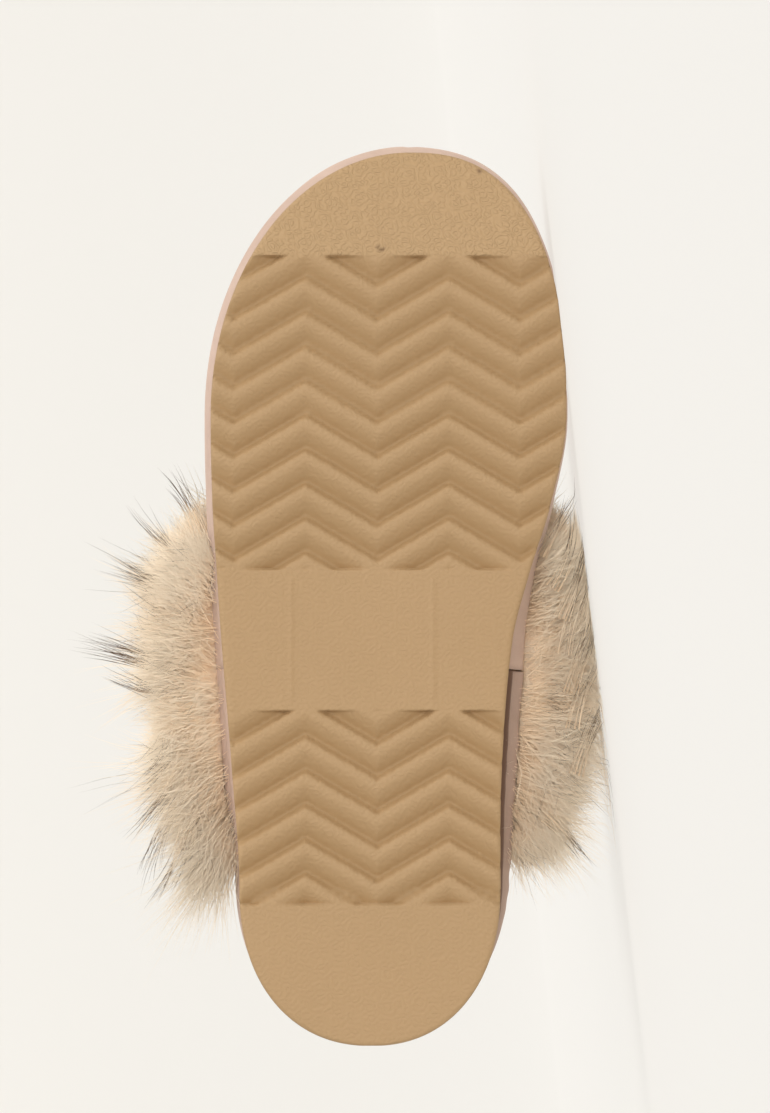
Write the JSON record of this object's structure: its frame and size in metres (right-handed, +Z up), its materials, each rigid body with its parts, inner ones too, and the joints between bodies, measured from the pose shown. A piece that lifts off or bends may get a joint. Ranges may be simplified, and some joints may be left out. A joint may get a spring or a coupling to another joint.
{
  "type": "slipper",
  "caption": "Open-backed slipper with a suede vamp, a deep fur cuff at the throat and a moulded zigzag-tread sole, lying on its inner side.",
  "frame": {"origin": "on the floor, under the centre of the box round the slipper as it lies on its inner side", "axes": "+X from heel to toe along the floor, +Y from the tread toward the instep, +Z up from the floor to the outer side"},
  "size_m": [0.2512, 0.125, 0.1447],
  "materials": {
    "outsole_rubber": "matte moulded tan",
    "suede": "soft nap, pale pinkish beige",
    "plush_lining": "short cream pile",
    "fur_pile": "long cream pile with dark brown tips"
  },
  "bodies": {
    "root": {"outsole": "outsole_rubber", "midsole": "suede", "insole": "plush_lining", "upper": "suede", "fur_cuff": "fur_pile"}
  },
  "joints": []
}
